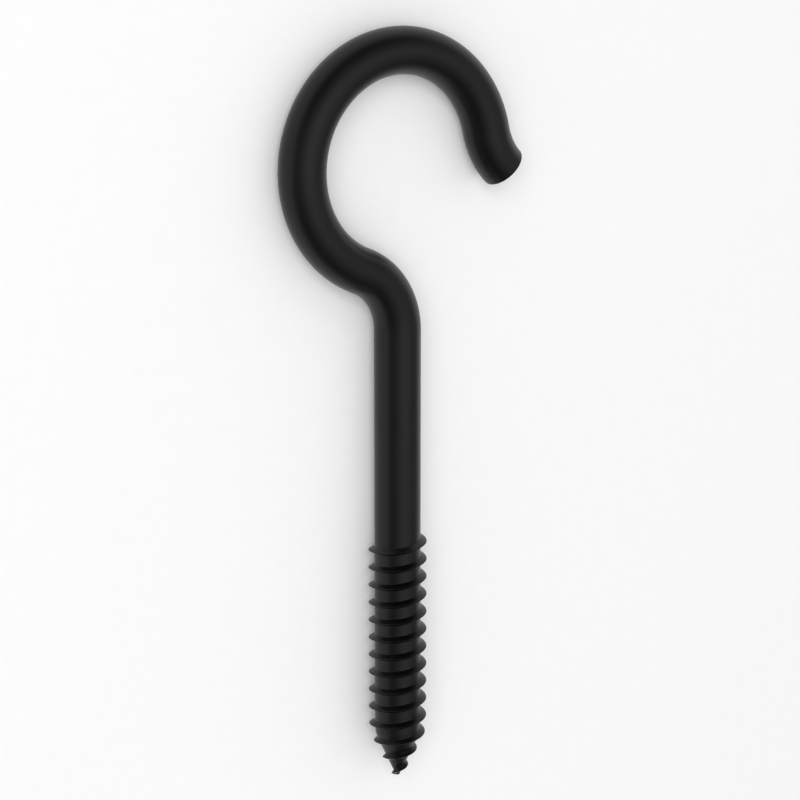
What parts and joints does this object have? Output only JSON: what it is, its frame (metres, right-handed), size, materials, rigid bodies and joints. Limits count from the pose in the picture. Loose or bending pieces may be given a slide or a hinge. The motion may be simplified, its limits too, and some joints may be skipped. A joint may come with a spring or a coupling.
{
  "type": "screw hook",
  "caption": "Wire screw hook with a pointed wood-screw thread, a plain shank and a round open hook whose lip turns outwards.",
  "frame": {"origin": "on the shank's axis where the thread ends, at the surface of the wood it is screwed into", "axes": "+Y along the shank from the point towards the round hook, +X towards the hook's lip and open mouth, +Z square to the flat plane of the bends and up as it lies on a surface"},
  "size_m": [0.0358, 0.0993, 0.0076],
  "materials": {
    "black_coated_steel": "satin black coating over steel wire"
  },
  "bodies": {
    "root": {"screw_hook": "black_coated_steel"}
  },
  "joints": []
}
